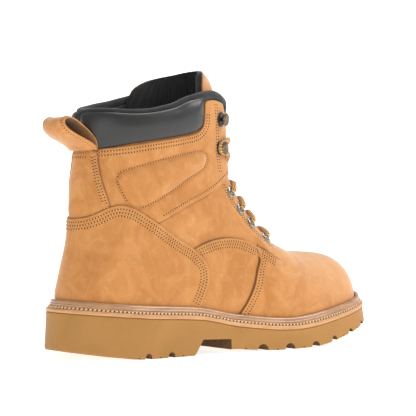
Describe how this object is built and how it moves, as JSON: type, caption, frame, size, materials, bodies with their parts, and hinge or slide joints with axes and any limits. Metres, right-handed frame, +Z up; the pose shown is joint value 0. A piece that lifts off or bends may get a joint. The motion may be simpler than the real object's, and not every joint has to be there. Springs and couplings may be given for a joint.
{
  "type": "safety boot",
  "caption": "Right lace-up ankle work boot with a steel toe cap, padded collar, hinged tongue, pull loop, lift-out footbed and lugged rubber sole.",
  "frame": {"origin": "middle of the boot's box on the floor it stands on", "axes": "+X towards the toe, +Y towards the inner (medial) side of the foot, +Z up"},
  "size_m": [0.3163, 0.1214, 0.2305],
  "materials": {
    "nubuck": "matt wheat nubuck",
    "gum_rubber": "matt moulded gum rubber",
    "tan_welt": "smooth stitched welt strip",
    "brown_welt": "polished dark edge bead",
    "black_leather": "smooth semi-gloss padded leather",
    "lining_mesh": "black knitted mesh",
    "footbed_fabric": "felted footbed cover",
    "foam": "closed-cell foam",
    "cork": "granulated cork",
    "board": "fibre board",
    "counter_board": "moulded thermoplastic stiffener",
    "steel": "plain pressed steel",
    "eyelet_steel": "nickel plated",
    "hook_bronze": "antique bronze plating",
    "hook_plate_black": "black painted base",
    "lace_cord": "round woven lace, tan with dark flecks"
  },
  "bodies": {
    "boot": {"outsole": "gum_rubber", "midsole": "foam", "shank": "steel", "welt": "tan_welt", "storm_welt": "brown_welt", "cork_filler": "cork", "insole_board": "board", "vamp": "nubuck", "vamp_lining": "lining_mesh", "steel_toe_cap": "steel", "quarter_lateral": "nubuck", "quarter_medial": "nubuck", "shaft_panel_lateral": "nubuck", "shaft_panel_medial": "nubuck", "midfoot_panel_lateral": "nubuck", "midfoot_panel_medial": "nubuck", "heel_foxing": "nubuck", "heel_counter": "counter_board", "backstay": "nubuck", "collar_pad_lateral": "black_leather", "collar_pad_medial": "black_leather", "collar_roll": "lining_mesh", "shaft_lining": "lining_mesh", "lace": "lace_cord", "eyelet_lateral_1": "eyelet_steel", "eyelet_lateral_2": "eyelet_steel", "eyelet_lateral_3": "eyelet_steel", "eyelet_lateral_4": "eyelet_steel", "lace_hook_lateral_1": "hook_bronze", "hook_plate_lateral_1": "hook_plate_black", "lace_hook_lateral_2": "hook_bronze", "hook_plate_lateral_2": "hook_plate_black", "eyelet_medial_1": "eyelet_steel", "eyelet_medial_2": "eyelet_steel", "eyelet_medial_3": "eyelet_steel", "eyelet_medial_4": "eyelet_steel", "lace_hook_medial_1": "hook_bronze", "hook_plate_medial_1": "hook_plate_black", "lace_hook_medial_2": "hook_bronze", "hook_plate_medial_2": "hook_plate_black"},
    "tongue": {"tongue_leather": "nubuck", "tongue_pad": "lining_mesh"},
    "pull_loop": {"pull_loop": "nubuck"},
    "footbed": {"footbed": "footbed_fabric"}
  },
  "joints": [
    {"name": "tongue_tilt", "type": "hinge", "parent": "boot", "child": "tongue", "pos_m": [0.07036, 0.002, 0.068], "axis": [0, 1, 0], "range_deg": [-4, 0]},
    {"name": "pull_loop_fold", "type": "hinge", "parent": "boot", "child": "pull_loop", "pos_m": [-0.13214, 0, 0.162], "axis": [0, 1, 0], "range_deg": [-35, 0]},
    {"name": "footbed_lift", "type": "hinge", "parent": "boot", "child": "footbed", "pos_m": [0.13836, 0.005, 0.0375], "axis": [0, 1, 0], "range_deg": [0, 5]}
  ]
}
